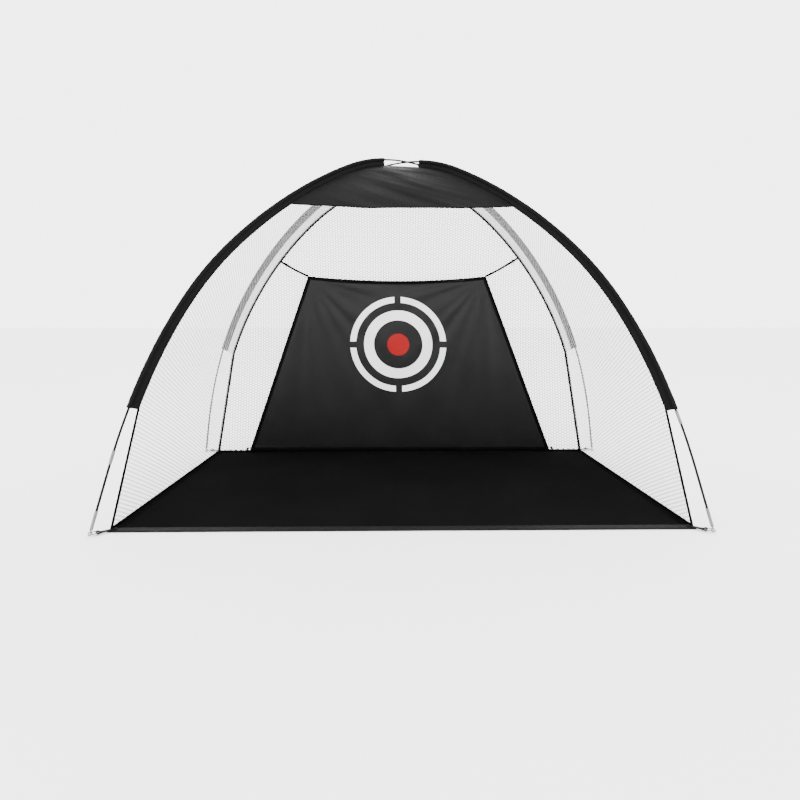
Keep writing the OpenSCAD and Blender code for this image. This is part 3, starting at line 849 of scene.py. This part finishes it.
class NET_OT_mat(Step):
    """Lay the ground mat and fold its hems"""

    bl_idname = "net.mat"
    bl_label = "Ground mat"

    def execute(self, context):
        s = self.s
        f_lo, f_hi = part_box("mat_hem_front")
        r_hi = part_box("mat_hem_rear")[1]

        def half(y):
            return mix(f_hi.x, r_hi.x - 0.0004, (y - f_lo.y) / (r_hi.y - f_lo.y))

        def lift(x, y):
            return 0.0009 * (1 + noise.noise(Vector((x * 5, y * 5, 0.0))))

        rows, uvs = [], []
        inner = (f_lo.y + s.hem - 0.003, r_hi.y - s.hem + 0.003)
        for j in range(61):
            y = mix(*inner, j / 60)
            w = half(y) - s.hem + 0.003
            xs = [mix(-w, w, i / 120) for i in range(121)]
            rows.append([Vector((x, y, 0.0009 + lift(x, y))) for x in xs])
            uvs.append([(x, y) for x in xs])
        bm = bmesh.new()
        grid(bm, rows, uvs)
        mat = finish_object("cloth_mat", bm, "woven_mat", "frame", ["ground_mat"])
        thicken(mat, 0.0008)
        y1, y2 = f_lo.y, r_hi.y
        runs = {
            "front": (Vector((-half(y1), y1, 0)), Vector((half(y1), y1, 0)), Vector((0, 1, 0))),
            "rear": (Vector((-half(y2), y2, 0)), Vector((half(y2), y2, 0)), Vector((0, -1, 0))),
            "left": (
                Vector((-half(y1), y1 + s.hem, 0)),
                Vector((-half(y2), y2 - s.hem, 0)),
                Vector((1, 0, 0)),
            ),
            "right": (
                Vector((half(y1), y1 + s.hem, 0)),
                Vector((half(y2), y2 - s.hem, 0)),
                Vector((-1, 0, 0)),
            ),
        }
        profile = ((0, 0.0005), (0.0, 0.003), (0.12, 0.004), (0.5, 0.0036), (0.88, 0.0041))
        profile += ((1.0, 0.0031), (1.0, 0.0005))
        for name, (a, b, inward) in runs.items():
            rows, uvs = [], []
            count = round((b - a).length / 0.012)
            for j in range(count + 1):
                p = a.lerp(b, j / count)
                pucker = 0.0004 * math.sin(j * 2.4) + 0.0005 * noise.noise(p * 30)
                rows.append([])
                uvs.append([])
                for f, z in profile:
                    up = max(z + (pucker if z > 0.001 else 0), 0.0003)
                    rows[-1].append(p + inward * (f * s.hem) + Vector((0, 0, up)))
                    uvs[-1].append((f * s.hem, (p - a).length))
                uvs[-1].append((s.hem * 2, (p - a).length))
            bm = bmesh.new()
            made, _ = grid(bm, rows, uvs, ring=True)
            bmesh.ops.contextual_create(bm, geom=made[0])
            bmesh.ops.contextual_create(bm, geom=made[-1])
            bmesh.ops.recalc_face_normals(bm, faces=bm.faces[:])
            # The front hem takes the lighter copy of the hem cloth: painted light on the hem that
            # faces the front.
            hem_finish_lit_at_front = "mat_binding" if name == "front" else "mat_edge"
            finish_object(f"hem_{name}", bm, hem_finish_lit_at_front, "frame", [f"mat_hem_{name}"])
        wide, deep = 2 * (half(0) - s.hem), y2 - y1 - 2 * s.hem
        return {"FINISHED"}


class NET_OT_target(Step):
    """Hang the target sheet with its binding, ties and knots"""

    bl_idname = "net.target"
    bl_label = "Target"

    def setup(self):
        s = self.s
        hinge = Vector(joint("target_swing")["pos_m"])
        self.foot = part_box("target_binding")[1].x

        def side_x(sx, v):
            return mix(sx * self.foot, sx * s.target_top + s.target_shift, v / s.target_h)

        def top(f):
            return s.target_h - s.target_sag * 4 * f * (1 - f)

        corners = [Vector((side_x(sx, s.target_h), s.target_h)) for sx in (-1, 1)]

        def wrinkle(x, v):
            """Folds that fan out from the top corners, and a soft belly."""
            total = 0.0
            for k, corner in enumerate(corners):
                d = Vector((x, v)) - corner
                far = d.length
                if far < 1e-4:
                    continue
                angle = math.atan2(d.y, d.x)
                fan = noise.noise(Vector((angle * 5.5, k * 7.0, far * 0.8)))
                fine = math.sin(angle * 24 + k) * 0.25
                total += 0.017 * (fan + fine) * smooth(0.02, 0.25, far) * math.exp(-far / 0.4)
            total += 0.007 * noise.noise(Vector((x * 2.2, v * 2.2, 5.0)))
            edge = min(v, 0.03) / 0.03
            return total * edge

        def place(x, v, w=0.0):
            w += wrinkle(x, v)
            c, q = math.cos(s.lean), math.sin(s.lean)
            return hinge + Vector((x, -v * q - w * c, v * c - w * q))

        return side_x, top, place

    def execute(self, context):
        s = self.s
        side_x, top, place = self.setup()
        rows, uvs = [], []
        count = s.sheet_rows
        wide = 140
        for j in range(count + 1):
            rows.append([])
            uvs.append([])
            for i in range(wide + 1):
                g = mix(0.005, 0.995, i / wide)
                v = 0.004 + j / count * (top(g) - 0.008)
                x = mix(side_x(-1, v), side_x(1, v), g)
                rows[-1].append(place(x, v))
                uvs[-1].append((x - s.target_shift * v / s.target_h, v))
        bm = bmesh.new()
        grid(bm, rows, uvs)
        cloth_obj = finish_object(
            "cloth_target", bm, "target_cloth", "target", ["target_sheet"]
        )
        cloth_obj.data.materials.append(MADE["black_polyester"])
        mod = thicken(cloth_obj, 0.0009).modifiers["Thickness"]
        mod.material_offset = mod.material_offset_rim = 1
        binding = self.binding(side_x, top, place)
        self.knots()
        return {"FINISHED"}

    def binding(self, side_x, top, place):
        s = self.s
        width = 0.018

        def ring(d):
            out = []
            slant = 1.06

            def inner_x(sx, v):
                return side_x(sx, v) - sx * d * slant

            for i in range(121):
                out.append((mix(inner_x(-1, d), inner_x(1, d), i / 120), d))
            for i in range(1, 81):
                v = mix(d, s.target_h - d, i / 80)
                out.append((inner_x(1, v), v))
            for i in range(1, 81):
                g = 1 - i / 80
                v = top(g) - d
                out.append((mix(inner_x(-1, v), inner_x(1, v), g), v))
            for i in range(1, 80):
                v = mix(s.target_h - d, d, i / 80)
                out.append((inner_x(-1, v), v))
            return out

        lines = [ring(width * f) for f in (0.0, 0.08, 0.5, 0.92, 1.0)]
        lift = (0.0, 0.0013, 0.0012, 0.0014, 0.0007)
        profile = [(k, lift[k]) for k in range(5)] + [(k, -lift[k]) for k in (4, 3, 2, 1)]
        total = len(lines[0])
        rows, uvs = [], []
        for j in range(total + 1):
            i = j % total
            pucker = 1 + 0.18 * math.sin(i * 2.2)
            rows.append([place(*lines[k][i], w * pucker) for k, w in profile])
            uvs.append([(k * 0.0045, j * 0.012) for k in range(len(profile) + 1)])
        bm = bmesh.new()
        grid(bm, rows, uvs, ring=True)
        bmesh.ops.remove_doubles(bm, verts=bm.verts[:], dist=1e-6)
        bmesh.ops.recalc_face_normals(bm, faces=bm.faces[:])
        return finish_object(
            "binding_target", bm, "black_binding", "target", ["target_binding"]
        )

    def knots(self):
        """Wrapped knots and cord tails on the tie cords."""
        for side, sx in SIDES.items():
            lo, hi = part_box(f"target_tie_{side}")
            far = Vector((lo.x if sx < 0 else hi.x, hi.y, hi.z))
            near = Vector((hi.x if sx < 0 else lo.x, lo.y, lo.z))
            along = (near - far).normalized()
            steps, sag, overlap = 30, 0.004, 0.006
            path = [far.lerp(near + along * overlap, k / steps) for k in range(steps + 1)]
            path = [
                p - Vector((0, 0, sag)) * math.sin(math.pi * k / steps) for k, p in enumerate(path)
            ]
            bm = bmesh.new()
            for apart in (-0.0028, 0.0028):
                tube(bm, [p + Vector((0, 0, apart)) for p in path], 0.0028, 8)
            around = [far + self.turn(along, k / 24) for k in range(25)]
            tube(bm, around, 0.0019, 8)
            finish_object(f"tie_cord_{side}", bm, "cord", "target", [f"target_tie_{side}"])
            knot = far + along * 0.030
            self.knot(f"tie_knot_{side}", knot, along, "target", 0.006)
            inner = near - along * 0.012 - Vector((0, 0.0045, 0))
            self.knot(f"tie_end_{side}", inner, along, "target", 0.0027)
        lo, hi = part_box("target_bottom_ties")
        for side, sx in SIDES.items():
            p = Vector((lo.x + 0.010 if sx < 0 else hi.x - 0.010, (lo.y + hi.y) / 2, hi.z - 0.002))
            self.knot(f"bottom_knot_{side}", p, Vector((1, 0, 0)), "frame", 0.004)

    def turn(self, along, f):
        """A point of the loop that a tie cord throws round the seam."""
        side = along.cross(Vector((0, 0.4, 1))).normalized()
        a = 2 * math.pi * f
        radius = 0.0078
        return (side * math.sin(a) - along * math.cos(a)) * radius

    def knot(self, name, p, along, body, size):
        a = along.orthogonal().normalized()
        b = along.cross(a)
        path = []
        for i in range(73):
            t = i / 72 * 2 * math.pi
            out = 1 + 0.4 * math.cos(3 * t)
            path.append(
                p
                + a * (size * out * math.cos(2 * t) * 0.8)
                + b * (size * out * math.sin(2 * t) * 0.8)
                + along * (size * 0.9 * math.sin(3 * t))
            )
        bm = bmesh.new()
        tube(bm, path, 0.0014, 8)
        down = Vector((0, 0, -1))
        tail = spline([p, p + a * 0.006 + down * 0.006, p + b * 0.004 + down * 0.022], 8)
        tube(bm, tail, 0.0013, 8)
        finish_object(name, bm, "cord", body)


class NET_OT_straps(Step):
    """Loop the webbing straps through the foot rings"""

    bl_idname = "net.straps"
    bl_label = "Foot straps"

    def execute(self, context):
        for c, (sx, sy) in CORNERS.items():
            s_lo, s_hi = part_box(f"foot_ring_{c}")
            ring = (s_lo + s_hi) / 2
            corner = mat_corner(sx, sy < 0)
            corner.z = ring.z
            away = (corner - ring).normalized()
            lo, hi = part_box(f"foot_strap_{c}")
            span = Vector((hi.x - lo.x, hi.y - lo.y, 0)).length
            cross = Vector((-away.y, away.x, 0))
            middle = (lo + hi) / 2
            middle.z = ring.z
            along = span * 0.5 - 0.006
            far = middle + away * along
            near = middle - away * along
            points = [
                (far, 0.0062),
                (middle, 0.0065),
                (near + away * 0.012, 0.0075),
                (near + away * 0.004, 0.0112),
                (near - away * 0.0005, ring.z),
                (near + away * 0.004, 0.0032),
                (near + away * 0.012, 0.0042),
                (middle, 0.0052),
                (far, 0.0052),
            ]
            path = spline([Vector((p.x, p.y, z)) for p, z in points], 8)
            rows, uvs, length = [], [], 0.0
            for j, p in enumerate(path):
                if j:
                    length += (p - path[j - 1]).length
                half = 0.006 * (1 - 0.12 * math.exp(-((length - 0.04) ** 2) / 1e-4))
                rows.append([p + cross * mix(-half, half, k / 4) for k in range(5)])
                uvs.append([(k * 0.003, length) for k in range(5)])
            bm = bmesh.new()
            grid(bm, rows, uvs)
            obj = finish_object(f"strap_{c}", bm, "webbing", None, [f"foot_strap_{c}"])
            thicken(obj, 0.0016)
            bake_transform(obj)
        return {"FINISHED"}


class NET_OT_stage(Step):
    """Set out the floor, lights and camera"""

    bl_idname = "net.stage"
    bl_label = "Stage"

    def execute(self, context):
        m = Finish("floor")
        vector, _ = m.coordinates("Object")
        m.set("Base Color", m.blend(m.cloud(vector, 1.5), grey(0.86), grey(0.9)))
        m.set("Roughness", 0.85)
        bm = bmesh.new()
        bmesh.ops.create_grid(bm, x_segments=8, y_segments=8, size=30)
        mesh = bpy.data.meshes.new("floor")
        bm.to_mesh(mesh)
        bm.free()
        floor = bpy.data.objects.new("floor", mesh)
        floor.location.z = -0.001
        mesh.materials.append(m.material)
        scene = context.scene
        scene.collection.objects.link(floor)
        lights = []
        for name, place, size, power in (
            ("key", (-1.8, -3.0, 3.6), 3.0, 60),
            ("fill", (2.6, -2.2, 2.4), 3.0, 30),
            ("back", (0.0, 3.2, 3.0), 3.0, 40),
        ):
            data = bpy.data.lights.new(name, "AREA")
            data.shape, data.size, data.energy = "SQUARE", size, power
            lamp = bpy.data.objects.new(name, data)
            lamp.location = place
            aim = Vector((0, 0, 0.5)) - lamp.location
            lamp.rotation_euler = aim.to_track_quat("-Z", "Y").to_euler()
            scene.collection.objects.link(lamp)
            lights.append(lamp)
        world = bpy.data.worlds.new("studio")
        world.use_nodes = True
        world.node_tree.nodes["Background"].inputs["Color"].default_value = (1, 1, 1, 1)
        world.node_tree.nodes["Background"].inputs["Strength"].default_value = 4.8
        scene.world = world
        data = bpy.data.cameras.new("camera")
        data.lens, data.sensor_width, data.shift_y = 22.39, 36, -0.225
        camera = bpy.data.objects.new("camera", data)
        camera.location = (-0.036, -2.238, 0.679)
        camera.rotation_euler = (math.radians(90 + 11), 0, -0.013)
        scene.collection.objects.link(camera)
        scene.camera = camera
        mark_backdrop(floor, *lights)
        return {"FINISHED"}


class NET_PT_panel(bpy.types.Panel):
    bl_idname = "NET_PT_panel"
    bl_label = "Chipping net"
    bl_space_type = "VIEW_3D"
    bl_region_type = "UI"
    bl_category = "Chipping Net"

    def draw(self, context):
        for op in OPERATORS:
            self.layout.operator(op.bl_idname)
        for name in ChippingNetSettings.__annotations__:
            self.layout.prop(context.scene.chipping_net, name)


OPERATORS = (
    NET_OT_hardware,
    NET_OT_sleeves,
    NET_OT_seams,
    NET_OT_nets,
    NET_OT_brow,
    NET_OT_mat,
    NET_OT_target,
    NET_OT_straps,
    NET_OT_stage,
)
CLASSES = (ChippingNetSettings, *OPERATORS, NET_PT_panel)


def register():
    for cls in CLASSES:
        bpy.utils.register_class(cls)
    bpy.types.Scene.chipping_net = PointerProperty(type=ChippingNetSettings)


def unregister():
    del bpy.types.Scene.chipping_net
    for cls in reversed(CLASSES):
        bpy.utils.unregister_class(cls)


def corners():
    return [[round(x, 5) for x in p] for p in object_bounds()]


def main():
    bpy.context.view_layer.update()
    register()
    make_materials()
    for op in OPERATORS:
        group, name = op.bl_idname.split(".")
        getattr(getattr(bpy.ops, group), name)()


if __name__ == "__main__":
    main()
